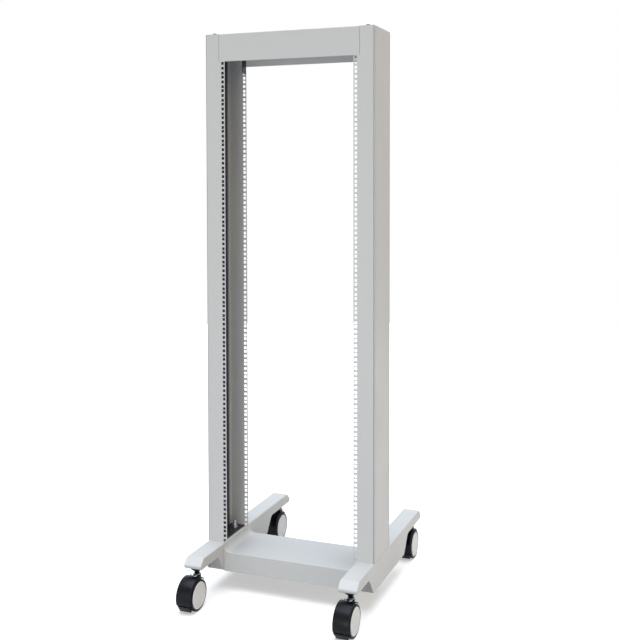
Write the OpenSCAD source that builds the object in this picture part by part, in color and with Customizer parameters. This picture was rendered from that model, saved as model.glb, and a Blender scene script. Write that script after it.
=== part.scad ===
// Two post open frame rack, 36 units, on four braked twin wheel casters.
// Millimetres, +Z up. The origin is on the floor, at the middle of the overall box.
// -Y is the front, where equipment is fastened, and the rack mirrors about X = 0.

/* [Rack space] */
// Height of the rack space in rack units
rack_units = 36; // [12:1:42]
// Height of one rack unit
unit_h = 44.45; // [44:0.05:45]
// Clear width between the rails
opening_w = 450; // [440:1:460]
// Distance of a hole row's middle from the edge of the clear width
hole_inset = 7.55; // [7:0.05:10]
// Side of a square fastening hole
hole_side = 9.5; // [8:0.1:10]

/* [Posts] */
// Width of a rail's face
rail_w = 69; // [60:1:90]
// Depth of a post, front face to rear face
post_d = 160; // [120:1:220]
// Sheet thickness of the rails
rail_t = 2; // [1.5:0.1:3]
// Depth of the rail's leg behind the side panel
rail_leg = 30; // [20:1:45]
// Depth of the rail's corner return
corner_return = 5; // [4:0.5:8]
// Open seam between the rail's corner and the side panel
seam = 2.6; // [1:0.1:4]
// Sheet thickness of the side panels
panel_t = 2; // [1.5:0.1:3]
// Corner radius at the top of a side panel
panel_corner_r = 12; // [4:1:25]
// Outer bend radius of the rails and the top bar
bend_r = 2.5; // [2:0.1:4]

/* [Top bar] */
// Height of the top bar
bar_h = 90; // [60:1:120]
// How far the bar runs over each rail
bar_lap = 20; // [10:1:30]
// Sheet thickness of the top bar
bar_t = 2; // [1.5:0.1:3]
// Gap between the bar's end and the rail's upper part
bar_gap = 1; // [0.5:0.1:2]
// Radius of a cap screw's head
screw_head_r = 6; // [4:0.5:8]
// Height of a cap screw's head
screw_head_h = 4.5; // [3:0.5:6]
// Distance of a cap screw from the post's front or rear face
screw_inset = 16; // [10:1:40]
// Depth of the bracket under the top bar
bracket_d = 26; // [15:1:40]
// How far the bracket hangs below the top bar
bracket_drop = 26; // [15:1:40]

/* [Feet] */
// Length of a foot
foot_l = 700; // [650:1:800]
// Width of a foot
foot_w = 60; // [50:1:68]
// Foot's reach in front of the post
foot_lead = 162; // [150:1:200]
// Height of the shallow ends
foot_end_h = 34; // [28:1:45]
// Height of the deep middle
foot_deep_h = 94; // [80:1:110]
// Length of the deep middle
deep_l = 332; // [280:1:360]
// Run of the slope between the shallow and the deep part
slope_run = 42; // [20:1:50]
// Radius at the top of that slope
arch_r = 22; // [8:1:30]
// Run of the slanted nose
nose_run = 22; // [8:1:30]
// Drop of the slanted nose
nose_drop = 22; // [14:1:24]
// Sheet thickness of the feet
foot_t = 2.5; // [1.5:0.1:3]
// Bend radius along the foot's upper edges
foot_bend_r = 5; // [3:0.5:8]
// Radius of the foot's lower end corners
foot_corner_r = 8; // [4:0.5:12]
// Radius under the slanted nose
nose_corner_r = 6; // [3:0.5:9]
// Radius of the deep part's lower corners
deep_corner_r = 4; // [2:0.5:8]
// How far the deep part starts in front of the posts
deep_lead = 2; // [0:0.5:10]
// Distance from the slope to the end of a caster's plate
plate_short = 20; // [10:1:40]

/* [Post base] */
// Thickness of the plate at the bottom of a post
base_plate_t = 4; // [3:0.5:8]
// Gap between the base plate and the inner side of the foot
base_plate_in = 4; // [2:0.5:10]
// Radius of a base bolt
base_bolt_r = 5; // [4:0.5:8]
// Height of a base bolt above its plate
base_bolt_h = 24; // [16:1:40]
// Thickness of a base bolt's flange
base_flange_t = 2.5; // [1.5:0.1:4]
// Distance of a base bolt from the post's front or rear face
base_bolt_inset = 26; // [20:1:60]

/* [Tray] */
// Depth of the tray, front to rear
tray_d = 195; // [180:1:260]
// Tray's reach in front of the post
tray_lead = 5; // [0:1:20]
// Drop of the tray's floor below the top of the feet
tray_drop = 32; // [26:1:45]
// Radius of the coves along the tray's sides
cove_r = 20; // [10:1:24]
// Sheet thickness of the tray
tray_t = 2; // [1.2:0.1:3]
// Gap between the end of a tray lip and the foot
lip_gap = 1.2; // [0.5:0.1:3]

/* [Casters] */
// Height from the floor to the foot's underside
caster_h = 125; // [118:1:140]
// Wheel diameter
wheel_d = 98; // [90:1:100]
// Width over both wheels
caster_w = 60; // [54:1:66]
// Distance from the stem to the axle
trail = 36; // [28:1:42]
// Distance from the foot's end to the stem
stem_inset = 30; // [24:1:40]
// Diameter of the wheel's cover disc
disc_d = 84; // [70:1:86]
// Clearance between a wheel and the hood
wheel_gap = 3; // [2:0.5:5]
// Thickness of the hood over the wheels
hood_t = 3; // [2:0.5:4]
// Width of the hood
hood_w = 50; // [40:1:54]
// Thickness of the web between the wheels
web_w = 16; // [13:1:20]
// Radius of the axle
axle_r = 5; // [4:0.5:6]
// Radius of the swivel pin
pin_r = 5.5; // [4:0.5:6]
// Distance from the foot's underside to the top of the swivel boss
boss_drop = 24; // [20:1:30]
// Radius of the stem's neck
neck_r = 8; // [6:0.5:10]
// Radius of the stem's cap under the foot
cap_r = 19; // [14:0.5:24]
// Angle at which the hood starts, from the rear over the top
hood_from = 50; // [30:1:70]
// Angle at which the hood ends
hood_to = 198; // [180:1:200]
// Width of the brake pedal
pedal_w = 40; // [20:1:46]
// Angle at which the brake pedal starts
pedal_from = 204; // [200:1:212]
// Angle at which the brake pedal ends
pedal_to = 226; // [216:1:232]
// Thickness of the brake pedal's arm
arm_w = 5.6; // [4:0.1:7]
// Width of the slot for that arm
arm_slot_w = 8; // [6:0.1:10]

/* [Hidden] */
$fn = 64;

eps = 0.5;                                   // overrun of a cut past the surface it opens
hole_clear = 0.2;                            // radial room round a screw or a spigot
run_gap = 0.06;                              // radial running clearance of pins and axles
paint = "#c5c5c3";
paint_side = "#c1bbb2";
paint_top = "#d5dce8";
dark_steel = "#3b3d42";
zinc = "#b9bcc0";
black = "#14161d";
disc_grey = "#c9c7c2";

// heights
foot_top = caster_h + foot_end_h;
rack_top = foot_top + rack_units * unit_h;
rack_h = rack_top + bar_h;
foot_low = foot_top - foot_deep_h;

// widths
half_w = opening_w / 2 + rail_w;
foot_in_x = half_w - foot_w;
foot_mid_x = half_w - foot_w / 2;
bar_end_x = opening_w / 2 + bar_lap;
leg_x = half_w - panel_t - 0.3;              // outer face of the rail's leg, behind the panel

// places front to rear
wheel_r = wheel_d / 2;
hood_in_r = wheel_r + wheel_gap;
hood_r = hood_in_r + hood_t;
boss_top = caster_h - boss_drop;
wheel_in_x = web_w / 2 + wheel_gap;          // inner face of a wheel
cover_x = caster_w / 2 - 3.5;                // seat of a wheel's cover disc
caster_lead = max(trail + hood_r - stem_inset, 0);
foot_y = (caster_lead - foot_l) / 2;         // front tip of the feet
post_y = foot_y + foot_lead;                 // front face of the posts
post_mid_y = post_y + post_d / 2;
deep_y = post_y - deep_lead;                         // front corner of the feet's deep part
tray_y = post_y - tray_lead;
front_stem_y = foot_y + stem_inset;
rear_stem_y = foot_y + foot_l - stem_inset;

// square holes in a rack unit, measured up from its lower edge
hole_steps = [6.35, 22.225, 38.1];

// points of a round corner at b, between a and c
function fillet(a, b, c, r, n) =
    let (u = (a - b) / norm(a - b),
         v = (c - b) / norm(c - b),
         half = acos(u * v) / 2,
         mid = b + (u + v) / norm(u + v) * r / sin(half),
         p = b + u * r / tan(half) - mid,
         q = b + v * r / tan(half) - mid,
         a0 = atan2(p[1], p[0]),
         turn = atan2(q[1], q[0]) - a0,
         sweep = turn > 180 ? turn - 360 : turn < -180 ? turn + 360 : turn)
    [for (i = [0 : n]) mid + r * [cos(a0 + sweep * i / n), sin(a0 + sweep * i / n)]];

// a closed outline from [x, y, corner radius] points
function rounded(pts, n = 6) =
    let (m = len(pts))
    [for (i = [0 : m - 1])
        let (b = pts[i], a = pts[(i + m - 1) % m], c = pts[(i + 1) % m])
        each (b[2] > 0
            ? fillet([a[0], a[1]], [b[0], b[1]], [c[0], c[1]], b[2], n)
            : [[b[0], b[1]]])];

// draws its child on the left side: the child is made for the right side
module left_side() {
    mirror([1, 0, 0]) children();
}

// turns the front rail or plate of a post into the rear one
module at_rear() {
    translate([0, 2 * post_mid_y, 0]) mirror([0, 1, 0]) children();
}

// extrudes an outline drawn in Y and Z along +X, from x0 over w
module along_x(x0, w) {
    translate([x0, 0, 0]) rotate([90, 0, 90]) linear_extrude(w) children();
}

// ---- posts ----

// folded rail of the right post: face, corner return and leg, with its rows of holes
module rail() {
    x0 = opening_w / 2;
    difference() {
        translate([0, post_y, foot_top])
            linear_extrude(rack_h - foot_top)
                polygon(rounded([
                    [x0, 0, 0], [half_w, 0, bend_r], [half_w, corner_return, 0],
                    [leg_x, corner_return, 0], [leg_x, rail_leg, 0],
                    [leg_x - rail_t, rail_leg, 0], [leg_x - rail_t, rail_t, 0], [x0, rail_t, 0]
                ]));
        // notch that the top bar fills
        translate([x0 - eps, post_y - eps, rack_top])
            cube([bar_lap + bar_gap + eps, rail_t + 2 * eps, bar_h + eps]);
        hole_row();
    }
}

module hole_row() {
    for (u = [0 : rack_units - 1], s = hole_steps)
        translate([
            opening_w / 2 + hole_inset - hole_side / 2, post_y - eps,
            foot_top + u * unit_h + s - hole_side / 2
        ])
            cube([hole_side, rail_t + 2 * eps, hole_side]);
}

module right_front_rail() { color(paint) rail(); }
module left_front_rail() { color(paint) left_side() rail(); }
module right_rear_rail() { color(paint) at_rear() rail(); }
module left_rear_rail() { color(paint) left_side() at_rear() rail(); }

// flat side panel with round upper corners, screwed to the rails' legs
module side_panel() {
    y0 = post_y + corner_return + seam;
    y1 = post_y + post_d - corner_return - seam;
    along_x(half_w - panel_t, panel_t)
        polygon(rounded([
            [y0, foot_top, 0], [y1, foot_top, 0],
            [y1, rack_h, panel_corner_r], [y0, rack_h, panel_corner_r]
        ], 10));
}

module right_side_panel() { color(paint_side) side_panel(); }
module left_side_panel() { color(paint_side) left_side() side_panel(); }

// ---- top ----

// folded bar, open below, that joins the posts
module top_bar() {
    color(paint)
        along_x(-bar_end_x, 2 * bar_end_x)
            polygon(rounded([
                [post_y, rack_top, 0], [post_y, rack_h, bend_r],
                [post_y + post_d, rack_h, bend_r], [post_y + post_d, rack_top, 0],
                [post_y + post_d - bar_t, rack_top, 0],
                [post_y + post_d - bar_t, rack_h - bar_t, 0],
                [post_y + bar_t, rack_h - bar_t, 0], [post_y + bar_t, rack_top, 0]
            ]));
}

// plate that closes a post's top, between the rails and beside the bar
module post_cap() {
    x0 = bar_end_x + bar_gap;
    difference() {
        translate([x0, post_y + rail_t, rack_h - rail_t])
            cube([leg_x - rail_t - x0, post_d - 2 * rail_t, rail_t]);
        for (y = cap_screw_ys())
            translate([cap_screw_x(), y, rack_h - rail_t - eps])
                cylinder(r = screw_shank_r() + hole_clear, h = rail_t + 2 * eps);
    }
}

function cap_screw_x() = (bar_end_x + leg_x) / 2;
function cap_screw_ys() = [post_y + screw_inset, post_y + post_d - screw_inset];
function screw_shank_r() = screw_head_r / 2;

module right_post_cap() { color(paint_top) post_cap(); }
module left_post_cap() { color(paint_top) left_side() post_cap(); }

module cap_screws() {
    for (y = cap_screw_ys())
        translate([cap_screw_x(), y, rack_h]) {
            cylinder(r1 = screw_head_r, r2 = screw_head_r * 0.8, h = screw_head_h);
            translate([0, 0, -rail_t - 10]) cylinder(r = screw_shank_r(), h = rail_t + 10 + 0.01);
        }
}

module right_cap_screws() { color(dark_steel) cap_screws(); }
module left_cap_screws() { color(dark_steel) left_side() cap_screws(); }

// small plate behind the rear rail's inner edge that carries the top bar
module top_bracket() {
    y1 = post_y + post_d - rail_t;
    along_x(opening_w / 2, rail_t)
        polygon(rounded([
            [y1 - bracket_d, rack_top - bracket_drop, bracket_d * 0.6],
            [y1, rack_top - bracket_drop, 0],
            [y1, rack_top + bar_h / 2, 0],
            [y1 - bracket_d, rack_top + bar_h / 2, 4]
        ], 10));
}

module right_top_bracket() { color(dark_steel) top_bracket(); }
module left_top_bracket() { color(dark_steel) left_side() top_bracket(); }

// ---- feet ----

// side outline of a foot, or of the space inside it when inset by the sheet
function foot_ends(t) = [
    [foot_y + nose_run + t / 2, foot_top - t, foot_bend_r],
    [foot_y + foot_l - nose_run - t / 2, foot_top - t, foot_bend_r],
    [foot_y + foot_l - t, foot_top - nose_drop, nose_corner_r],
    [foot_y + foot_l - t, foot_top - foot_end_h + t, foot_corner_r - t]
];

module foot_outline() {
    low = foot_top - foot_end_h;
    polygon(rounded(concat(foot_ends(0), [
        [deep_y + deep_l + slope_run, low, arch_r],
        [deep_y + deep_l, foot_low, deep_corner_r],
        [deep_y, foot_low, deep_corner_r],
        [deep_y - slope_run, low, arch_r],
        [foot_y, low, foot_corner_r],
        [foot_y, foot_top - nose_drop, nose_corner_r]
    ])));
}

// the inside is open below, between the plates that carry the casters
module foot_inside() {
    low = foot_top - foot_end_h + foot_t;
    plate_l = foot_lead - slope_run - plate_short;
    polygon(rounded(concat(foot_ends(foot_t), [
        [foot_y + foot_l - plate_l, low, 0],
        [foot_y + foot_l - plate_l, foot_low - eps, 0],
        [foot_y + plate_l, foot_low - eps, 0],
        [foot_y + plate_l, low, 0],
        [foot_y + foot_t, low, foot_corner_r - foot_t],
        [foot_y + foot_t, foot_top - nose_drop, nose_corner_r]
    ])));
}

module foot_section() {
    translate([foot_in_x, foot_low - eps])
        polygon(rounded([
            [0, 0, 0], [foot_w, 0, 0],
            [foot_w, foot_deep_h + eps, foot_bend_r], [0, foot_deep_h + eps, foot_bend_r]
        ]));
}

module foot() {
    difference() {
        intersection() {
            along_x(foot_in_x, foot_w) foot_outline();
            translate([0, foot_y + foot_l, 0])
                rotate([90, 0, 0]) linear_extrude(foot_l) foot_section();
        }
        along_x(foot_in_x + foot_t, foot_w - 2 * foot_t) foot_inside();
        for (y = [front_stem_y, rear_stem_y])
            translate([foot_mid_x, y, caster_h - eps])
                cylinder(r = spigot_r() + hole_clear, h = foot_t + 2 * eps);
    }
}

function spigot_r() = pin_r + 0.5;

module right_foot() { color(paint) foot(); }
module left_foot() { color(paint) left_side() foot(); }

// upright plates that close the deep part of a foot at both ends
module foot_bulkheads() {
    for (y = [deep_y + foot_t, deep_y + deep_l - 2 * foot_t])
        translate([foot_in_x + foot_t, y, foot_low])
            cube([foot_w - 2 * foot_t, foot_t, foot_deep_h - foot_t]);
}

module right_foot_bulkheads() { color(paint_side) foot_bulkheads(); }
module left_foot_bulkheads() { color(paint_side) left_side() foot_bulkheads(); }

// ---- post base ----

// plate at the bottom of a post, bolted down on the foot
module base_plate() {
    x0 = foot_in_x + base_plate_in;
    difference() {
        translate([x0, post_y + rail_t, foot_top])
            cube([leg_x - rail_t - x0, post_d - 2 * rail_t, base_plate_t]);
        for (y = base_bolt_ys())
            translate([foot_mid_x, y, foot_top - eps])
                cylinder(r = base_bolt_r + 0.3, h = base_plate_t + 2 * eps);
    }
}

function base_bolt_ys() = [post_y + base_bolt_inset, post_y + post_d - base_bolt_inset];

module right_base_plate() { color(dark_steel) base_plate(); }
module left_base_plate() { color(dark_steel) left_side() base_plate(); }

// bolts with a wide flange and a tall head
module base_bolts() {
    for (y = base_bolt_ys())
        translate([foot_mid_x, y, foot_top]) {
            cylinder(r = base_bolt_r, h = base_plate_t + 0.01);
            translate([0, 0, base_plate_t]) {
                cylinder(r = base_bolt_r * 2.4, h = base_flange_t);
                cylinder(r = base_bolt_r * 1.2, h = base_bolt_h, $fn = 6);
            }
        }
}

module right_base_bolts() { color(zinc) base_bolts(); }
module left_base_bolts() { color(zinc) left_side() base_bolts(); }

// ---- tray ----

// half of the tray's upper surface, from the middle out, at half width w
function tray_half(w) =
    let (z = foot_top - tray_drop)
    concat([[0, z]], [for (i = [0 : 8])
        let (a = -90 + 90 * i / 8)
        [w - cove_r + cove_r * cos(a), z + cove_r + cove_r * sin(a)]]);

// half of the tray's lower surface, one sheet below the upper one
function tray_half_under(w) =
    let (z = foot_top - tray_drop)
    concat([for (i = [8 : -1 : 0])
        let (a = -90 + 90 * i / 8)
        [w - cove_r + (cove_r + tray_t) * cos(a), z + cove_r + (cove_r + tray_t) * sin(a)]],
        [[0, z - tray_t]]);

module both_halves() {
    children();
    mirror([1, 0]) children();
}

module base_tray() {
    in_w = foot_in_x - tray_t;
    lip_w = foot_in_x - lip_gap;
    color(paint_top) {
        // floor with its coves, which stand against the feet
        translate([0, tray_y + tray_d - tray_t, 0]) rotate([90, 0, 0])
            linear_extrude(tray_d - 2 * tray_t)
                both_halves() polygon(concat(tray_half(in_w), tray_half_under(in_w)));
        // front and rear lips, down to the bottom of the feet
        for (y = [tray_y + tray_t, tray_y + tray_d])
            translate([0, y, 0]) rotate([90, 0, 0])
                linear_extrude(tray_t)
                    both_halves()
                        polygon(concat(tray_half(lip_w), [[lip_w, foot_low], [0, foot_low]]));
    }
}

// ---- casters ----
// Each is drawn with its stem on the Z axis, its wheels forward of the stem.

function caster_spot(rear) = [foot_mid_x, rear ? rear_stem_y : front_stem_y, 0];

// lathe-turned shape about the axle, from an outline drawn as [radius, x]
module about_axle(from = 0, sweep = 360) {
    translate([0, -trail, wheel_r])
        rotate([0, 90, 0]) rotate([0, 0, from + 90])
            rotate_extrude(angle = sweep, $fn = 96) children();
}

module caster_stem() {
    rotate_extrude()
        polygon([
            [0, boss_top - 24], [pin_r, boss_top - 24], [pin_r, boss_top + 1],
            [neck_r, boss_top + 1], [neck_r, caster_h - 10], [cap_r * 0.7, caster_h - 8],
            [cap_r, caster_h - 1.5], [cap_r, caster_h], [spigot_r(), caster_h],
            [spigot_r(), caster_h + foot_t + 12], [0, caster_h + foot_t + 12]
        ]);
    translate([0, 0, caster_h + foot_t]) cylinder(r = 10, h = 8, $fn = 6);
}

// sector in the plane of the wheels, from angle a0 to a1, counted from the rear over the top
module sector(a0, a1, r, w) {
    translate([0, -trail, wheel_r]) along_x(-w / 2, w)
        polygon(concat([[0, 0]], [for (i = [0 : 6])
            let (a = a0 + (a1 - a0) * i / 6) r * [cos(a), sin(a)]]));
}

module axle_disc(r, w) {
    translate([-w / 2, -trail, wheel_r]) rotate([0, 90, 0]) cylinder(r = r, h = w);
}

module caster_hood() {
    difference() {
        union() {
            // cover over both wheels
            intersection() {
                difference() {
                    axle_disc(hood_r, hood_w);
                    axle_disc(hood_in_r, hood_w + 2 * eps);
                }
                sector(hood_from, hood_to, 2 * hood_r, hood_w + eps);
            }
            // web between the wheels
            axle_disc(wheel_r - 9, web_w);
            intersection() {
                axle_disc(hood_r - 1, web_w);
                sector(hood_from - 12, hood_to, 2 * hood_r, web_w + eps);
            }
            // boss round the swivel pin
            translate([0, 0, boss_top - 6]) cylinder(r = 13, h = 6);
            translate([-web_w / 2, -12, boss_top - 30]) cube([web_w, 24, 30]);
        }
        translate([0, 0, boss_top - 26]) cylinder(r = pin_r + run_gap, h = 40);
        axle_disc(axle_r + run_gap, web_w + 2 * eps);
        // slot for the brake pedal's arm
        axle_disc(13, arm_slot_w);
        sector(pedal_from - 16, pedal_to + 40, wheel_r - 4, arm_slot_w);
    }
}

module caster_pedal() {
    difference() {
        union() {
            axle_disc(axle_r + 5, arm_w);
            intersection() {
                axle_disc(hood_in_r + 1, arm_w);
                sector(pedal_from + 6, pedal_to - 4, 2 * hood_r, arm_w);
            }
            intersection() {
                difference() {
                    axle_disc(hood_r, pedal_w);
                    axle_disc(hood_in_r, pedal_w + 2 * eps);
                }
                sector(pedal_from, pedal_to, 2 * hood_r, pedal_w + eps);
            }
        }
        axle_disc(axle_r + run_gap, arm_w + 2 * eps);
    }
}

module one_wheel() {
    about_axle()
        polygon([
            [0, wheel_in_x], [wheel_r - 2.5, wheel_in_x], [wheel_r - 0.7, wheel_in_x + 0.7],
            [wheel_r, wheel_in_x + 2.5], [wheel_r, cover_x - 1.5], [wheel_r - 0.8, cover_x + 0.6],
            [wheel_r - 2.8, cover_x + 1.8], [disc_d / 2 + 1, cover_x + 2],
            [disc_d / 2 + 0.6, cover_x], [0, cover_x]
        ]);
}

module caster_wheels() {
    one_wheel();
    mirror([1, 0, 0]) one_wheel();
    axle_disc(axle_r, 2 * wheel_in_x + 0.02);
}

module one_disc() {
    r = disc_d / 2;
    about_axle()
        polygon([
            [0, cover_x], [r, cover_x], [r, cover_x + 1.8], [r - 2, cover_x + 3.2],
            [r - 5, cover_x + 3.5], [r - 9, cover_x + 2.6], [0, cover_x + 2.2]
        ]);
}

module caster_discs() {
    one_disc();
    mirror([1, 0, 0]) one_disc();
}

module front_right_stem() { color(black) translate(caster_spot(false)) caster_stem(); }
module front_right_hood() { color(black) translate(caster_spot(false)) caster_hood(); }
module front_right_wheels() { color(black) translate(caster_spot(false)) caster_wheels(); }
module front_right_discs() { color(disc_grey) translate(caster_spot(false)) caster_discs(); }
module front_right_pedal() { color(black) translate(caster_spot(false)) caster_pedal(); }
module front_left_stem() { left_side() front_right_stem(); }
module front_left_hood() { left_side() front_right_hood(); }
module front_left_wheels() { left_side() front_right_wheels(); }
module front_left_discs() { left_side() front_right_discs(); }
module front_left_pedal() { left_side() front_right_pedal(); }
module rear_right_stem() { color(black) translate(caster_spot(true)) caster_stem(); }
module rear_right_hood() { color(black) translate(caster_spot(true)) caster_hood(); }
module rear_right_wheels() { color(black) translate(caster_spot(true)) caster_wheels(); }
module rear_right_discs() { color(disc_grey) translate(caster_spot(true)) caster_discs(); }
module rear_right_pedal() { color(black) translate(caster_spot(true)) caster_pedal(); }
module rear_left_stem() { left_side() rear_right_stem(); }
module rear_left_hood() { left_side() rear_right_hood(); }
module rear_left_wheels() { left_side() rear_right_wheels(); }
module rear_left_discs() { left_side() rear_right_discs(); }
module rear_left_pedal() { left_side() rear_right_pedal(); }

left_front_rail();
left_rear_rail();
left_side_panel();
right_front_rail();
right_rear_rail();
right_side_panel();
top_bar();
left_post_cap();
right_post_cap();
left_cap_screws();
right_cap_screws();
left_top_bracket();
right_top_bracket();
left_foot();
right_foot();
left_foot_bulkheads();
right_foot_bulkheads();
left_base_plate();
right_base_plate();
left_base_bolts();
right_base_bolts();
base_tray();
front_left_stem();
front_left_hood();
front_left_wheels();
front_left_discs();
front_left_pedal();
front_right_stem();
front_right_hood();
front_right_wheels();
front_right_discs();
front_right_pedal();
rear_left_stem();
rear_left_hood();
rear_left_wheels();
rear_left_discs();
rear_left_pedal();
rear_right_stem();
rear_right_hood();
rear_right_wheels();
rear_right_discs();
rear_right_pedal();
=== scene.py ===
"""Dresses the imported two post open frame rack: finishes, fine hardware, camera and light."""
from math import cos, pi, radians, sin

import bpy
from mathutils import Matrix, Vector


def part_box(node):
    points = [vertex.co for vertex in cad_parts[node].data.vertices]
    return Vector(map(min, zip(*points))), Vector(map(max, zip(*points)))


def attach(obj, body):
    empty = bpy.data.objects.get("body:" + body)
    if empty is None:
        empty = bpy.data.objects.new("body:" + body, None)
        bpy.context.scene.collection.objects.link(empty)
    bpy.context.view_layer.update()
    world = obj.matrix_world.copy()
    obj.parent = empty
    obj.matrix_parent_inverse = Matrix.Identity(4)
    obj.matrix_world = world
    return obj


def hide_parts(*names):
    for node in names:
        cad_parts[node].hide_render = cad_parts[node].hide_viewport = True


bl_info = {
    "name": "Two post open frame rack",
    "version": (1, 0, 0),
    "blender": (4, 5, 0),
    "location": "3D View > Sidebar > Open Rack",
    "description": "Finishes, fine hardware and studio for a two post open frame rack on casters",
    "category": "Object",
}

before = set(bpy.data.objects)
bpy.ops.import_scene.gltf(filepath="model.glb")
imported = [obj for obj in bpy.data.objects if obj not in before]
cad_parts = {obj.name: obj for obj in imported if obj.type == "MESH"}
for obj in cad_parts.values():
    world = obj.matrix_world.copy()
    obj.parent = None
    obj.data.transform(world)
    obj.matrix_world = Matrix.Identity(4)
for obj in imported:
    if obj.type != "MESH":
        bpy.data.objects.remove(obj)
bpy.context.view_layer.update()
SIDES = ("left", "right")
CASTERS = ("front_left", "front_right", "rear_left", "rear_right")
FACING = 0.99  # cosine from which a face counts as looking along a direction
MERGE = 0.00001  # metres; nearer vertices are joined


# ---- sizes and colours -------------------------------------------------------------------

class RackFinishes(bpy.types.PropertyGroup):
    powder_coat: bpy.props.StringProperty(
        name="Powder coat", description="sRGB hex of the light grey powder coat", default="C6C7C7")
    # The colour inside the posts is painted shade: the dark of a post's shaded inside and of the
    # seams behind its corners.
    post_inside_shade: bpy.props.StringProperty(
        name="Inside of the posts", description="sRGB hex of the thin coat inside the posts",
        default="28303E")
    nylon: bpy.props.StringProperty(
        name="Nylon", description="sRGB hex of the casters' black nylon", default="06080F")
    tread: bpy.props.StringProperty(
        name="Tread", description="sRGB hex of the wheels' black tread", default="07080F")
    cover_disc: bpy.props.StringProperty(
        name="Cover disc", description="sRGB hex of the wheels' grey cover discs", default="D6D6D6")
    zinc: bpy.props.StringProperty(
        name="Zinc", description="sRGB hex of the zinc plated bolts", default="B4B7BB")
    black_steel: bpy.props.StringProperty(
        name="Black steel", description="sRGB hex of the blackened screws", default="34363B")


class RackCaster(bpy.types.PropertyGroup):
    wheel_radius: bpy.props.FloatProperty(
        name="Wheel radius", description="Radius of a wheel over its tread", default=0.049,
        unit="LENGTH")
    wheel_inner: bpy.props.FloatProperty(
        name="Wheel inner face", description="Distance of a wheel's inner face from the middle",
        default=0.011, unit="LENGTH")
    wheel_outer: bpy.props.FloatProperty(
        name="Wheel outer face", description="Distance of a wheel's outer face from the middle",
        default=0.0283, unit="LENGTH")
    tread_round: bpy.props.FloatProperty(
        name="Tread rounding", description="Radius of the tread's edges", default=0.0026,
        unit="LENGTH")
    disc_radius: bpy.props.FloatProperty(
        name="Cover radius", description="Radius of a cover disc", default=0.042, unit="LENGTH")
    disc_seat: bpy.props.FloatProperty(
        name="Cover seat", description="Distance of a cover's back from the middle",
        default=0.0264, unit="LENGTH")
    hood_inner: bpy.props.FloatProperty(
        name="Hood inner radius", description="Inner radius of the hood", default=0.052,
        unit="LENGTH")
    hood_outer: bpy.props.FloatProperty(
        name="Hood outer radius", description="Outer radius of the hood", default=0.055,
        unit="LENGTH")
    hood_width: bpy.props.FloatProperty(
        name="Hood width", description="Width of the hood over both wheels", default=0.052,
        unit="LENGTH")
    trail: bpy.props.FloatProperty(
        name="Trail", description="Distance of the stem behind the axle", default=0.036,
        unit="LENGTH")
    boss_top: bpy.props.FloatProperty(
        name="Boss top", description="Height of the swivel boss above the axle", default=0.0515,
        unit="LENGTH")
    stem_above: bpy.props.FloatProperty(
        name="Stem above", description="Length of the stem above the underside of the foot",
        default=0.0145, unit="LENGTH")


class RackStudio(bpy.types.PropertyGroup):
    focal: bpy.props.FloatProperty(
        name="Focal length", description="Lens on a sensor 36 mm wide, in millimetres", default=54.4)
    eye: bpy.props.FloatVectorProperty(
        name="Eye", description="Place of the camera", default=(1.2236, -2.9152, 1.3568),
        subtype="TRANSLATION", unit="LENGTH")
    turn: bpy.props.FloatProperty(
        name="Turn", description="Turn of the camera about the vertical", default=radians(19.82),
        subtype="ANGLE", unit="ROTATION")
    tilt: bpy.props.FloatProperty(
        name="Tilt", description="Tilt of the camera below the horizon", default=radians(2.10),
        subtype="ANGLE", unit="ROTATION")
    shift: bpy.props.FloatVectorProperty(
        name="Shift", description="Shift of the lens, in picture widths", size=2,
        default=(-0.0732, -0.1641))


# ---- materials ---------------------------------------------------------------------------

def linear(hex_colour):
    """The linear RGBA of an sRGB hex colour."""
    parts = [int(hex_colour[i:i + 2], 16) / 255 for i in (0, 2, 4)]
    return tuple(c / 12.92 if c <= 0.04045 else ((c + 0.055) / 1.055) ** 2.4 for c in parts) + (1.0,)


def shaded(colour, share):
    """A linear colour made lighter or darker by a share."""
    return tuple(min(c * share, 1.0) for c in colour[:3]) + (1.0,)


def add_node(tree, kind, inputs=None, **settings):
    """Adds a node with its settings, and its sockets' values or links."""
    node = tree.nodes.new(kind)
    for key, value in settings.items():
        setattr(node, key, value)
    for key, value in (inputs or {}).items():
        if isinstance(value, bpy.types.NodeSocket):
            tree.links.new(value, node.inputs[key])
        else:
            node.inputs[key].default_value = value
    return node


def surface(name, colour, roughness, bump_mm, bump_depth_mm, cloud_mm=60.0, cloud=0.03,
            rough_spread=0.05, **shader):
    """A material with clouded colour, varying gloss and a fine surface at a true scale."""
    material = bpy.data.materials.new(name)
    material.use_nodes = True
    tree = material.node_tree
    tree.nodes.clear()
    place = add_node(tree, "ShaderNodeTexCoord").outputs["Object"]
    cloud_noise = add_node(tree, "ShaderNodeTexNoise", {
        "Vector": place, "Scale": 1000.0 / cloud_mm, "Detail": 3.0, "Roughness": 0.55})
    tint = add_node(tree, "ShaderNodeMix", {
        "Factor": cloud_noise.outputs["Fac"],
        "A": shaded(colour, 1 - cloud), "B": shaded(colour, 1 + cloud)}, data_type="RGBA")
    gloss = add_node(tree, "ShaderNodeMapRange", {
        "Value": cloud_noise.outputs["Fac"], "From Min": 0.3, "From Max": 0.7,
        "To Min": roughness - rough_spread, "To Max": roughness + rough_spread})
    grain = add_node(tree, "ShaderNodeTexNoise", {
        "Vector": place, "Scale": 1000.0 / bump_mm, "Detail": 2.0, "Roughness": 0.5})
    bump = add_node(tree, "ShaderNodeBump", {
        "Height": grain.outputs["Fac"], "Strength": 1.0, "Distance": bump_depth_mm / 1000.0})
    principled = add_node(tree, "ShaderNodeBsdfPrincipled", {
        "Base Color": tint.outputs[2], "Roughness": gloss.outputs["Result"],
        "Normal": bump.outputs["Normal"]})
    for key, value in shader.items():
        principled.inputs[key.replace("_", " ")].default_value = value
    add_node(tree, "ShaderNodeOutputMaterial", {"Surface": principled.outputs["BSDF"]})
    return material


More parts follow.
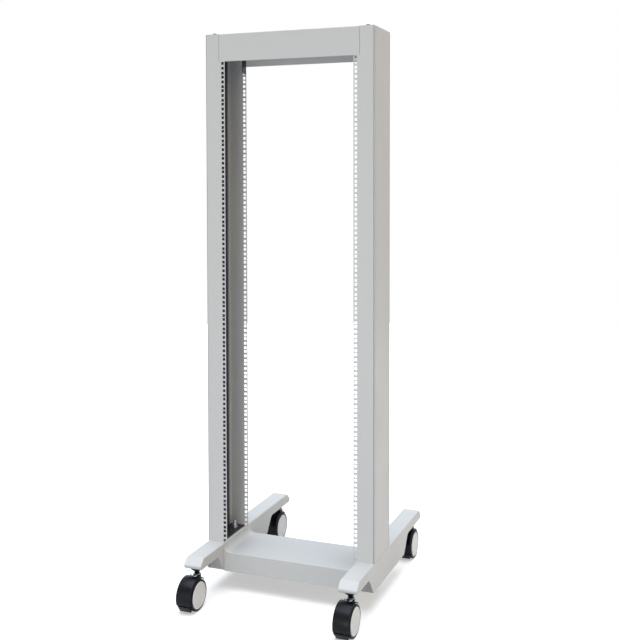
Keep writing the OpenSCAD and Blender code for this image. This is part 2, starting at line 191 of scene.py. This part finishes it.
def powder_coated_steel(name, colour):
    """Light grey powder coat."""
    # Polyester powder sprayed on sheet steel and baked: an even satin skin with the faint
    # orange peel that breaks up a reflection.
    return surface(name, colour, 0.42, bump_mm=1.6, bump_depth_mm=0.012, cloud_mm=140.0,
                   cloud=0.012, Specular_IOR_Level=0.4)


def post_inside_steel(name, colour, inside, inner_x, outer_x, post_middle, half_depth):
    """Powder coat for rails and side panels, with painted shade over the inside of a post."""
    # The darker colour is painted shade: the shade inside a post, put into the colour by place
    # alone, on both sides of X = 0. It is full over the middle of a post's depth and fades out
    # short of the front and rear corners. Farther out than inner_x it holds at least a set share.
    # That the coat is darker there is a guess.
    fade_start, fade_end = 0.024, 0.004  # metres in from the post's front and rear
    # Towards the corners, farther out than inner_x, the painted shade keeps at least this share.
    least_share = 0.55
    rail_leg = 0.02  # metres the darker colour reaches inward of inner_x
    material = powder_coated_steel(name, colour)
    tree = material.node_tree
    shader = next(n for n in tree.nodes if n.type == "BSDF_PRINCIPLED")
    outside = shader.inputs["Base Color"].links[0].from_socket
    place = add_node(tree, "ShaderNodeTexCoord").outputs["Object"]
    axes = add_node(tree, "ShaderNodeSeparateXYZ", {"Vector": place})
    across = add_node(tree, "ShaderNodeMath", {0: axes.outputs["X"]}, operation="ABSOLUTE")
    offset = add_node(tree, "ShaderNodeMath", {0: axes.outputs["Y"], 1: post_middle},
                      operation="SUBTRACT")
    depth = add_node(tree, "ShaderNodeMath", {0: offset.outputs["Value"]}, operation="ABSOLUTE")
    # Painted shade, full over the middle of the post's depth and fading out towards its corners.
    painted_shade = add_node(tree, "ShaderNodeMapRange", {
        "Value": depth.outputs["Value"], "From Min": half_depth - fade_start,
        "From Max": half_depth - fade_end, "To Min": 1.0, "To Max": 0.0},
        interpolation_type="SMOOTHSTEP")
    beyond = add_node(tree, "ShaderNodeMath", {0: across.outputs["Value"], 1: inner_x},
                      operation="GREATER_THAN")
    least = add_node(tree, "ShaderNodeMath", {0: beyond.outputs["Value"], 1: least_share},
                     operation="MULTIPLY")
    fade = add_node(tree, "ShaderNodeMath", {
        0: painted_shade.outputs["Result"], 1: least.outputs["Value"]}, operation="MAXIMUM")
    behind = add_node(tree, "ShaderNodeMath", {0: across.outputs["Value"], 1: outer_x},
                      operation="LESS_THAN")
    within = add_node(tree, "ShaderNodeMath", {
        0: across.outputs["Value"], 1: inner_x - rail_leg},
                      operation="GREATER_THAN")
    both_sides = add_node(tree, "ShaderNodeMath", {
        0: behind.outputs["Value"], 1: within.outputs["Value"]}, operation="MULTIPLY")
    share = add_node(tree, "ShaderNodeMath", {
        0: both_sides.outputs["Value"], 1: fade.outputs["Value"]}, operation="MULTIPLY")
    both = add_node(tree, "ShaderNodeMix", {
        "Factor": share.outputs["Value"], "A": outside, "B": inside}, data_type="RGBA")
    tree.links.new(both.outputs[2], shader.inputs["Base Color"])
    return material


def moulded_nylon(name, colour):
    """Black nylon of the casters."""
    # Glass filled nylon moulded in a finely eroded tool: a soft sheen with a broken highlight.
    return surface(name, colour, 0.3, bump_mm=0.8, bump_depth_mm=0.006, cloud_mm=25.0,
                   cloud=0.06, Specular_IOR_Level=0.16)


def polyurethane_tread(name, colour):
    """Black tread of the wheels."""
    # Cast polyurethane, scuffed a little duller where it rolls.
    return surface(name, colour, 0.5, bump_mm=1.2, bump_depth_mm=0.02, cloud_mm=12.0,
                   cloud=0.1, rough_spread=0.1, Specular_IOR_Level=0.14)


def moulded_abs(name, colour):
    """Pale plastic of the cover discs."""
    # Pale ABS moulded smooth, with the low gloss of a plain cover.
    return surface(name, colour, 0.34, bump_mm=1.0, bump_depth_mm=0.006, cloud_mm=40.0,
                   cloud=0.015, Specular_IOR_Level=0.5)


def zinc_plated_steel(name, colour):
    """Bright plated steel."""
    # Bright zinc over turned steel, passivated: a soft metal gloss with cloudy patches.
    return surface(name, colour, 0.3, bump_mm=0.7, bump_depth_mm=0.006, cloud_mm=4.0,
                   cloud=0.12, rough_spread=0.08, Metallic=1.0)


def blackened_steel(name, colour):
    """Dark steel of the screws."""
    # Black oxide on rolled steel: dark, slightly oily, with worn grey clouds.
    return surface(name, colour, 0.4, bump_mm=0.9, bump_depth_mm=0.01, cloud_mm=8.0,
                   cloud=0.2, rough_spread=0.08, Metallic=0.6)


def finish_of(node):
    """Which finish a CAD node carries."""
    if node.endswith(("side_panel", "rail")):
        return "post"
    if node.endswith(("cap_screws", "base_plate", "top_bracket")):
        return "black_steel"
    if node.endswith("base_bolts"):
        return "zinc"
    if node.endswith(("stem", "hood", "pedal")):
        return "nylon"
    if node.endswith("wheels"):
        return "tread"
    if node.endswith("discs"):
        return "disc"
    return "coat"


def dress(piece, material):
    """Gives a piece one material."""
    piece.data.materials.clear()
    piece.data.materials.append(material)


class RACK_OT_finishes(bpy.types.Operator):
    """Gives every CAD part the finish of the real material"""
    bl_idname = "rack.finishes"
    bl_label = "Finishes"

    def execute(self, context):
        look = context.scene.rack_finishes
        panel_in, panel_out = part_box("right_side_panel")
        rail_in, rail_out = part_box("right_rear_rail")
        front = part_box("right_front_rail")[0].y
        sheet = panel_out.x - panel_in.x
        # The least share of the darker colour, painted shade, starts 0.6 of a sheet inside the side
        # panel's inner face; the painted shade ends in the middle of that panel's sheet.
        finishes = {
            "coat": powder_coated_steel("powder_coated_steel", linear(look.powder_coat)),
            "post": post_inside_steel(
                "powder_coated_post", linear(look.powder_coat), linear(look.post_inside_shade),
                panel_in.x - sheet * 0.6, panel_out.x - sheet / 2,
                (front + rail_out.y) / 2, (rail_out.y - front) / 2),
            "nylon": moulded_nylon("moulded_nylon", linear(look.nylon)),
            "tread": polyurethane_tread("polyurethane_tread", linear(look.tread)),
            "disc": moulded_abs("moulded_abs", linear(look.cover_disc)),
            "zinc": zinc_plated_steel("zinc_plated_steel", linear(look.zinc)),
            "black_steel": blackened_steel("blackened_steel", linear(look.black_steel)),
        }
        for name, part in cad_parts.items():
            dress(part, finishes[finish_of(name)])
        return {"FINISHED"}


# ---- modelling ---------------------------------------------------------------------------

def pick(piece, kind, test):
    """Selects the faces, edges or vertices of a piece that pass a test, and stays in edit mode."""
    bpy.ops.object.mode_set(mode="EDIT")
    bpy.ops.mesh.select_mode(type=kind)
    bpy.ops.mesh.select_all(action="DESELECT")
    bpy.ops.object.mode_set(mode="OBJECT")
    mesh = piece.data
    parts = {"FACE": mesh.polygons, "EDGE": mesh.edges, "VERT": mesh.vertices}[kind]
    for part in parts:
        part.select = test(mesh, part)
    bpy.ops.object.mode_set(mode="EDIT")


def faces_towards(direction):
    """A test for flat faces that look along a direction."""
    way = Vector(direction)
    return lambda mesh, face: face.normal.dot(way) > FACING


def edges_between(test):
    """A test for edges whose two ends both pass a test of their place."""
    return lambda mesh, edge: all(test(mesh.vertices[i].co) for i in edge.vertices)


def finished(piece, name, angle=30.0):
    """Closes seams, turns normals outward and shades a piece by its angles."""
    bpy.ops.object.mode_set(mode="EDIT")
    bpy.ops.mesh.select_all(action="SELECT")
    bpy.ops.mesh.remove_doubles(threshold=MERGE)
    bpy.ops.mesh.normals_make_consistent(inside=False)
    bpy.ops.object.mode_set(mode="OBJECT")
    bpy.ops.object.shade_smooth_by_angle(angle=radians(angle))
    piece.name = name
    return piece


def add_rod(radius, low, high, axis="Z", middle=(0.0, 0.0, 0.0), sides=48):
    """A cylinder from low to high along an axis, ready to be shaped."""
    bpy.ops.object.select_all(action="DESELECT")
    place = Vector(middle)
    place["XYZ".index(axis)] += (low + high) / 2
    turn = {"X": (0, pi / 2, 0), "Y": (pi / 2, 0, 0), "Z": (0, 0, 0)}[axis]
    bpy.ops.mesh.primitive_cylinder_add(
        vertices=sides, radius=radius, depth=high - low, location=place, rotation=turn)
    bpy.ops.object.transform_apply(location=True, rotation=True, scale=True)
    return bpy.context.active_object


def add_arc(inner, outer, width, start, end, edge_round, steps=40):
    """A curved band about the axle: a rounded section spun over the top, angles from the rear."""
    bpy.ops.object.select_all(action="DESELECT")
    middle = (inner + outer) / 2
    a0, a1 = radians(start), radians(end)
    bpy.ops.mesh.primitive_plane_add(
        size=1.0, location=(0, middle * cos(a0), middle * sin(a0)), rotation=(a0, 0, 0))
    band = bpy.context.active_object
    band.scale = (width, outer - inner, 1.0)
    bpy.ops.object.transform_apply(location=True, rotation=True, scale=True)
    pick(band, "VERT", lambda mesh, v: (v.co.y ** 2 + v.co.z ** 2) ** 0.5 > middle)
    bpy.ops.mesh.bevel(offset=edge_round, segments=4, affect="VERTICES")
    bpy.ops.mesh.select_all(action="SELECT")
    bpy.ops.mesh.spin(steps=steps, angle=a0 - a1, center=(0, 0, 0), axis=(1, 0, 0))
    bpy.ops.object.mode_set(mode="OBJECT")
    end_y, end_z = middle * cos(a1), middle * sin(a1)
    reach = min(abs(v.co.y - end_y) + abs(v.co.z - end_z) for v in band.data.vertices)
    if reach > outer - inner:
        raise RuntimeError("the band was spun the wrong way")
    return band


def bevel_where(piece, test, offset, segments=3):
    """Rounds the edges whose two ends pass a test of their place."""
    pick(piece, "EDGE", edges_between(test))
    bpy.ops.mesh.bevel(offset=offset, segments=segments, affect="EDGES")
    bpy.ops.object.mode_set(mode="OBJECT")


def mirrored(piece):
    """A copy of a piece on the other side of X = 0, with its own mesh."""
    twin = piece.copy()
    twin.data = piece.data.copy()
    bpy.context.scene.collection.objects.link(twin)
    for vertex in twin.data.vertices:
        vertex.co.x = -vertex.co.x
    twin.data.flip_normals()
    return twin


def joined(*parts):
    """Joins parts into the first one."""
    bpy.ops.object.select_all(action="DESELECT")
    for part in parts:
        part.select_set(True)
    bpy.context.view_layer.objects.active = parts[0]
    bpy.ops.object.join()
    return parts[0]


def place_copies(pattern, spots):
    """Copies a pattern to each spot: {piece name: (place, body, CAD nodes it stands for)}."""
    for name, (place, body, nodes) in spots.items():
        piece = pattern.copy()
        piece.data = pattern.data.copy()
        piece.name = name
        piece.data.name = name
        piece.data.transform(Matrix.Translation(place))
        bpy.context.scene.collection.objects.link(piece)
        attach(piece, body)
        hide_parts(*nodes)
    bpy.data.objects.remove(pattern)


def middle_of(node):
    """The middle of a CAD node's box."""
    low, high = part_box(node)
    return (low + high) / 2


def caster_spots(part, body):
    """The axle of each caster, with the body a part rides on and the node it stands for."""
    return {f"{caster}_{part}_moulding": (
        middle_of(f"{caster}_wheels"), f"{caster}_{body}", [f"{caster}_{part}"])
        for caster in CASTERS}


class RACK_OT_wheels(bpy.types.Operator):
    """Twin wheels with a rounded tread, a shoulder and a seat for the cover"""
    bl_idname = "rack.wheels"
    bl_label = "Wheels"

    def execute(self, context):
        size = context.scene.rack_caster
        radius = size.wheel_radius
        seat_gap, seat_taper, seat_depth = 0.0006, 0.0005, 0.002
        axle_radius, axle_reach, axle_edge = 0.005, 0.001, 0.0004
        tyre = add_rod(radius, size.wheel_inner, size.wheel_outer, "X", sides=96)
        bevel_where(tyre, lambda p: p.yz.length > radius * 0.99, size.tread_round, 4)
        for side in ((1, 0, 0), (-1, 0, 0)):
            pick(tyre, "FACE", faces_towards(side))
            shoulder = radius - size.tread_round - size.disc_radius - seat_gap
            bpy.ops.mesh.inset(thickness=shoulder, depth=0.0)
            bpy.ops.mesh.inset(thickness=seat_taper, depth=-seat_depth)
            bpy.ops.object.mode_set(mode="OBJECT")
        axle = add_rod(
            axle_radius, -size.wheel_inner - axle_reach, size.wheel_inner + axle_reach, "X")
        bevel_where(axle, lambda p: abs(p.x) > size.wheel_inner, axle_edge)
        wheels = finished(joined(tyre, mirrored(tyre), axle), "wheel_pattern")
        dress(wheels, bpy.data.materials["polyurethane_tread"])
        place_copies(wheels, caster_spots("wheels", "wheel_pair"))
        return {"FINISHED"}


class RACK_OT_covers(bpy.types.Operator):
    """Grey cover discs with a raised, bevelled rim"""
    bl_idname = "rack.covers"
    bl_label = "Wheel covers"

    def execute(self, context):
        size = context.scene.rack_caster
        thick, shade_angle = 0.0015, 22.0
        # Rings from the edge to the middle: how far in, and how far out along the axle.
        rings = ((0.0004, 0.0006), (0.0016, 0.0011), (0.0016, 0.0003),
                 (0.0008, -0.0003), (0.0022, -0.0009), (0.02, 0.0))
        disc = add_rod(size.disc_radius, size.disc_seat, size.disc_seat + thick, "X", sides=96)
        pick(disc, "FACE", faces_towards((1, 0, 0)))
        for thickness, depth in rings:
            bpy.ops.mesh.inset(thickness=thickness, depth=depth)
        bpy.ops.object.mode_set(mode="OBJECT")
        discs = finished(joined(disc, mirrored(disc)), "disc_pattern", shade_angle)
        dress(discs, bpy.data.materials["moulded_abs"])
        place_copies(discs, caster_spots("discs", "wheel_pair"))
        return {"FINISHED"}


class RACK_OT_hoods(bpy.types.Operator):
    """Moulded hoods with round shoulders, a web between the wheels and the swivel boss"""
    bl_idname = "rack.hoods"
    bl_label = "Hoods"

    def execute(self, context):
        size = context.scene.rack_caster
        inner, outer = size.hood_inner, size.hood_outer
        web_radius, web_half, web_edge = inner - 0.011, 0.008, 0.001
        boss_radius, boss_foot, boss_round = 0.0128, 0.022, 0.0018
        cover = add_arc(
            inner, outer, size.hood_width, start=48, end=198, edge_round=0.0024, steps=56)
        # This strip lies within the shell, so it doesn't show.
        strip = add_arc(outer - 0.0006, outer - 0.0001, size.hood_width * 0.6,
                        start=60, end=96, edge_round=0.0001, steps=12)
        web = add_rod(web_radius, -web_half, web_half, "X", sides=72)
        bevel_where(web, lambda p: p.yz.length > inner - 0.012, web_edge)
        bridge = add_arc(inner - 0.013, inner + 0.0005, 2 * web_half,
                         start=38, end=198, edge_round=0.0006, steps=48)
        trail = size.trail
        boss = add_rod(boss_radius, boss_foot, size.boss_top, "Z", (0, trail, 0))
        bevel_where(boss, lambda p: p.z > size.boss_top - 0.001, boss_round, 4)
        hood = finished(joined(cover, web, bridge, boss, strip), "hood_pattern")
        dress(hood, bpy.data.materials["moulded_nylon"])
        place_copies(hood, caster_spots("hood", "swivel"))

        # The bright steel yoke lies on the hood, as a V in front of the neck, with a collar.
        yoke_size, yoke_dip, yoke_edge = (0.026, 0.0016, 0.0052), 0.0075, 0.0004
        yoke_ahead, yoke_over, yoke_lean = 0.021, 0.0012, radians(62)
        collar_radius, collar_low, collar_high, collar_edge = 0.0115, 0.0002, 0.0024, 0.0005
        bpy.ops.object.select_all(action="DESELECT")
        bpy.ops.mesh.primitive_cube_add(size=1.0)
        yoke = context.active_object
        yoke.scale = yoke_size
        bpy.ops.object.transform_apply(scale=True)
        bpy.ops.object.mode_set(mode="EDIT")
        bpy.ops.mesh.select_all(action="SELECT")
        bpy.ops.mesh.bisect(plane_co=(0, 0, 0), plane_no=(1, 0, 0))
        pick(yoke, "VERT", lambda mesh, v: abs(v.co.x) < 0.001)
        bpy.ops.transform.translate(value=(0, 0, -yoke_dip))
        bpy.ops.object.mode_set(mode="OBJECT")
        bevel_where(yoke, lambda p: True, yoke_edge, 2)
        place = Vector((0, trail - yoke_ahead, outer + yoke_over))
        yoke.data.transform(Matrix.Translation(place) @ Matrix.Rotation(-yoke_lean, 4, "X"))
        collar = add_rod(collar_radius, size.boss_top + collar_low, size.boss_top + collar_high,
                         "Z", (0, trail, 0))
        bevel_where(collar, lambda p: True, collar_edge, 2)
        yoke = finished(joined(yoke, collar), "yoke_pattern")
        dress(yoke, bpy.data.materials["zinc_plated_steel"])
        spots = {f"{caster}_yoke": (middle_of(f"{caster}_wheels"), f"{caster}_swivel", [])
                 for caster in CASTERS}
        place_copies(yoke, spots)
        return {"FINISHED"}


class RACK_OT_pedals(bpy.types.Operator):
    """Brake pedals: a curved tread with a rolled lip and its arm to the axle"""
    bl_idname = "rack.pedals"
    bl_label = "Brake pedals"

    def execute(self, context):
        size = context.scene.rack_caster
        inner, outer = size.hood_inner, size.hood_outer
        tread_width, arm_width = 0.042, 0.0056
        roll_radius, roll_half, roll_edge = 0.0026, 0.0205, 0.001
        roll_angle, roll_orbit = radians(226), outer - 0.0012
        hub_radius, hub_half, hub_edge = 0.0095, 0.0027, 0.0005
        tread = add_arc(inner + 0.0002, outer + 0.0004, tread_width,
                        start=203, end=225, edge_round=0.0018, steps=14)
        roll_middle = (0, roll_orbit * cos(roll_angle), roll_orbit * sin(roll_angle))
        roll = add_rod(roll_radius, -roll_half, roll_half, "X", roll_middle, 24)
        bevel_where(roll, lambda p: abs(p.x) > 0.02, roll_edge)
        arm = add_arc(0.004, inner + 0.001, arm_width,
                      start=212, end=220, edge_round=0.0005, steps=6)
        hub = add_rod(hub_radius, -hub_half, hub_half, "X")
        bevel_where(hub, lambda p: abs(p.x) > 0.002, hub_edge)
        pedal = finished(joined(tread, roll, arm, hub), "pedal_pattern")
        dress(pedal, bpy.data.materials["moulded_nylon"])
        place_copies(pedal, caster_spots("pedal", "brake"))
        return {"FINISHED"}


class RACK_OT_stems(bpy.types.Operator):
    """Caster stems: a flared cap under the foot, a neck, and the nut inside the foot"""
    bl_idname = "rack.stems"
    bl_label = "Stems"

    def execute(self, context):
        size = context.scene.rack_caster
        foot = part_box("front_left_stem")[1].z - size.stem_above
        cap_radius, cap_edge = 0.0205, 0.0008
        nut_radius, nut_edge = 0.0098, 0.0006
        stud_radius, stud_edge = 0.006, 0.0012
        # Steps from the cap down to the neck: how far in, and how far down.
        steps = ((0.0018, 0.0022), (0.0055, 0.0042), (0.0045, 0.0016), (0.0004, 0.0105))
        cap = add_rod(cap_radius, foot - 0.005, foot - 0.0003, "Z")
        pick(cap, "FACE", faces_towards((0, 0, -1)))
        for thickness, depth in steps:
            bpy.ops.mesh.inset(thickness=thickness, depth=depth)
        bpy.ops.object.mode_set(mode="OBJECT")
        bevel_where(cap, lambda p: p.z > foot - 0.001, cap_edge)
        nut = add_rod(nut_radius, foot + 0.0026, foot + 0.0105, "Z", sides=6)
        bevel_where(nut, lambda p: True, nut_edge, 2)
        stud = add_rod(stud_radius, foot - 0.001, foot + 0.0143, "Z", sides=32)
        bevel_where(stud, lambda p: p.z > foot, stud_edge)
        stem = finished(joined(cap, nut, stud), "stem_pattern")
        dress(stem, bpy.data.materials["moulded_nylon"])
        spots = {f"{caster}_stem_turning": (
            Vector((middle_of(f"{caster}_stem").x, middle_of(f"{caster}_stem").y, 0)), "root",
            [f"{caster}_stem"]) for caster in CASTERS}
        place_copies(stem, spots)
        return {"FINISHED"}


class RACK_OT_fasteners(bpy.types.Operator):
    """Socket screws on the post caps, and flange bolts at the foot of each post"""
    bl_idname = "rack.fasteners"
    bl_label = "Screws and bolts"

    def execute(self, context):
        head_height, head_round = 0.0045, 0.0012
        socket_margin, socket_taper, socket_depth = 0.32, 0.0002, 0.0026
        flange_low, flange_high, flange_edge = 0.004, 0.0063, 0.0008
        nut_radius, nut_low, nut_high, nut_edge = 0.0092, 0.006, 0.014, 0.0007
        stud_radius, stud_short, stud_edge = 0.005, 0.0005, 0.0011
        for side in SIDES:
            low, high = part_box(f"{side}_cap_screws")
            head = (high.x - low.x) / 2
            screws = []
            for y in (low.y + head, high.y - head):
                middle = ((low.x + high.x) / 2, y, 0)
                screw = add_rod(head, high.z - head_height, high.z, "Z", middle, 40)
                bevel_where(screw, lambda p: p.z > high.z - 0.001, head_round, 4)
                pick(screw, "FACE", faces_towards((0, 0, 1)))
                bpy.ops.mesh.inset(thickness=head * socket_margin, depth=0.0)
                bpy.ops.mesh.inset(thickness=socket_taper, depth=-socket_depth)
                bpy.ops.object.mode_set(mode="OBJECT")
                screws.append(screw)
            self.keep(joined(*screws), f"{side}_socket_screws", f"{side}_cap_screws",
                      "blackened_steel", "black_oxide")
            low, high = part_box(f"{side}_base_bolts")
            flange = (high.x - low.x) / 2
            bolts = []
            for y in (low.y + flange, high.y - flange):
                middle = ((low.x + high.x) / 2, y, 0)
                washer = add_rod(flange, low.z + flange_low, low.z + flange_high, "Z", middle)
                bevel_where(washer, lambda p: p.z > low.z + 0.006, flange_edge)
                nut = add_rod(nut_radius, low.z + nut_low, low.z + nut_high, "Z", middle, 6)
                bevel_where(nut, lambda p: True, nut_edge, 2)
                stud = add_rod(stud_radius, low.z, high.z - stud_short, "Z", middle, 32)
                bevel_where(stud, lambda p: p.z > low.z + 0.01, stud_edge)
                bolts += [washer, nut, stud]
            self.keep(joined(*bolts), f"{side}_flange_bolts", f"{side}_base_bolts",
                      "zinc_plated_steel", "zinc_plate")
        return {"FINISHED"}

    def keep(self, piece, name, node, material, slot):
        """Finishes a piece on the root body, in place of a CAD node."""
        finished(piece, name)
        dress(piece, bpy.data.materials[material])
        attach(piece, "root")
        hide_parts(node)


# ---- studio ------------------------------------------------------------------------------

def add_sun(name, strength, colour, angle, towards):
    """A soft sun whose light travels along a direction."""
    lamp = bpy.data.lights.new(name, "SUN")
    lamp.energy = strength
    lamp.color = colour
    lamp.angle = angle
    sun = bpy.data.objects.new(name, lamp)
    sun.rotation_euler = Vector(towards).to_track_quat("-Z", "Y").to_euler()
    bpy.context.scene.collection.objects.link(sun)


def seen(tree):
    """A socket that is 1 for camera, glossy and transmission rays, and 0 for bounced light."""
    path = add_node(tree, "ShaderNodeLightPath")
    gloss = add_node(tree, "ShaderNodeMath", {
        0: path.outputs["Is Camera Ray"], 1: path.outputs["Is Glossy Ray"]}, operation="MAXIMUM")
    both = add_node(tree, "ShaderNodeMath", {
        0: gloss.outputs["Value"], 1: path.outputs["Is Transmission Ray"]}, operation="MAXIMUM")
    return both.outputs["Value"]


class RACK_OT_studio(bpy.types.Operator):
    """Sets the camera, the lamps, the white surround and the floor"""
    bl_idname = "rack.studio"
    bl_label = "Studio"

    def execute(self, context):
        scene = context.scene
        studio = scene.rack_studio
        camera = bpy.data.objects.new("camera", bpy.data.cameras.new("camera"))
        camera.data.sensor_fit = "HORIZONTAL"
        camera.data.sensor_width = 36.0
        camera.data.lens = studio.focal
        camera.data.shift_x, camera.data.shift_y = studio.shift
        camera.location = studio.eye
        camera.rotation_euler = (pi / 2 - studio.tilt, 0.0, studio.turn)
        scene.collection.objects.link(camera)
        scene.camera = camera

        add_sun("key", 0.34, (0.97, 0.99, 1.0), radians(40), (0.35, 1.0, -0.12))
        add_sun("top", 3.3, (0.82, 0.90, 1.0), radians(60), (0.0, 0.05, -1.0))
        add_sun("warm_side", 0.72, (1.0, 0.74, 0.4), radians(50), (-1.0, 0.3, -0.3))
        lamp = bpy.data.lights.new("low_front", "AREA")
        lamp.size = 1.2
        lamp.energy = 75.0
        low_front = bpy.data.objects.new("low_front", lamp)
        low_front.location = (0.3, -5.0, 0.15)
        low_front.rotation_euler = Vector((-0.05, 1.0, 0.2)).to_track_quat("-Z", "Y").to_euler()
        scene.collection.objects.link(low_front)

        world = bpy.data.worlds.new("white_surround")
        world.use_nodes = True
        tree = world.node_tree
        tree.nodes.clear()
        # The surround shows white and lights the rack at about a third of that.
        light = add_node(tree, "ShaderNodeBackground", {
            "Color": (1.0, 0.99, 0.98, 1), "Strength": 0.36})
        white = add_node(tree, "ShaderNodeBackground", {"Color": (1, 1, 1, 1), "Strength": 1.0})
        mix = add_node(tree, "ShaderNodeMixShader", {
            0: seen(tree), 1: light.outputs["Background"], 2: white.outputs["Background"]})
        add_node(tree, "ShaderNodeOutputWorld", {"Surface": mix.outputs["Shader"]})
        scene.world = world

        bpy.ops.object.select_all(action="DESELECT")
        bpy.ops.mesh.primitive_circle_add(vertices=96, radius=6.0, fill_type="NGON")
        floor = context.active_object
        floor.name = "floor"
        material = bpy.data.materials.new("pale_floor")
        material.use_nodes = True
        tree = material.node_tree
        tree.nodes.clear()
        # The floor shows matt white with a slight glow, so that only the contact shadow is left.
        # To bounced light it is mid grey, so that it throws less light up at the rack.
        matt = add_node(tree, "ShaderNodeBsdfDiffuse", {"Color": (0.8, 0.8, 0.8, 1)})
        bouncing = add_node(tree, "ShaderNodeBsdfDiffuse", {"Color": (0.42, 0.42, 0.42, 1)})
        glow = add_node(tree, "ShaderNodeEmission", {"Strength": 0.4})
        lifted = add_node(tree, "ShaderNodeAddShader", {
            0: matt.outputs["BSDF"], 1: glow.outputs["Emission"]})
        mix = add_node(tree, "ShaderNodeMixShader", {
            0: seen(tree), 1: bouncing.outputs["BSDF"], 2: lifted.outputs["Shader"]})
        add_node(tree, "ShaderNodeOutputMaterial", {"Surface": mix.outputs["Shader"]})
        dress(floor, material)
        scene.view_settings.view_transform = "Standard"
        return {"FINISHED"}


class RACK_PT_sidebar(bpy.types.Panel):
    """Lists the steps that dress the rack"""
    bl_idname = "RACK_PT_sidebar"
    bl_label = "Open Rack"
    bl_space_type = "VIEW_3D"
    bl_region_type = "UI"
    bl_category = "Open Rack"

    def draw(self, context):
        scene = context.scene
        for group in (scene.rack_finishes, scene.rack_caster, scene.rack_studio):
            box = self.layout.box()
            for key in group.__annotations__:
                box.prop(group, key)
        for step in STEPS:
            self.layout.operator(step.bl_idname)


STEPS = (RACK_OT_finishes, RACK_OT_wheels, RACK_OT_covers, RACK_OT_hoods, RACK_OT_pedals,
         RACK_OT_stems, RACK_OT_fasteners, RACK_OT_studio)
CLASSES = (RackFinishes, RackCaster, RackStudio) + STEPS + (RACK_PT_sidebar,)


def register():
    """Registers the classes and the scene's settings."""
    for cls in CLASSES:
        bpy.utils.register_class(cls)
    bpy.types.Scene.rack_finishes = bpy.props.PointerProperty(type=RackFinishes)
    bpy.types.Scene.rack_caster = bpy.props.PointerProperty(type=RackCaster)
    bpy.types.Scene.rack_studio = bpy.props.PointerProperty(type=RackStudio)


def unregister():
    """Takes back what register made."""
    del bpy.types.Scene.rack_studio
    del bpy.types.Scene.rack_caster
    del bpy.types.Scene.rack_finishes
    for cls in reversed(CLASSES):
        bpy.utils.unregister_class(cls)


def main():
    """Runs every step."""
    register()
    for step in STEPS:
        group, name = step.bl_idname.split(".")
        getattr(getattr(bpy.ops, group), name)()


if __name__ == "__main__":
    main()
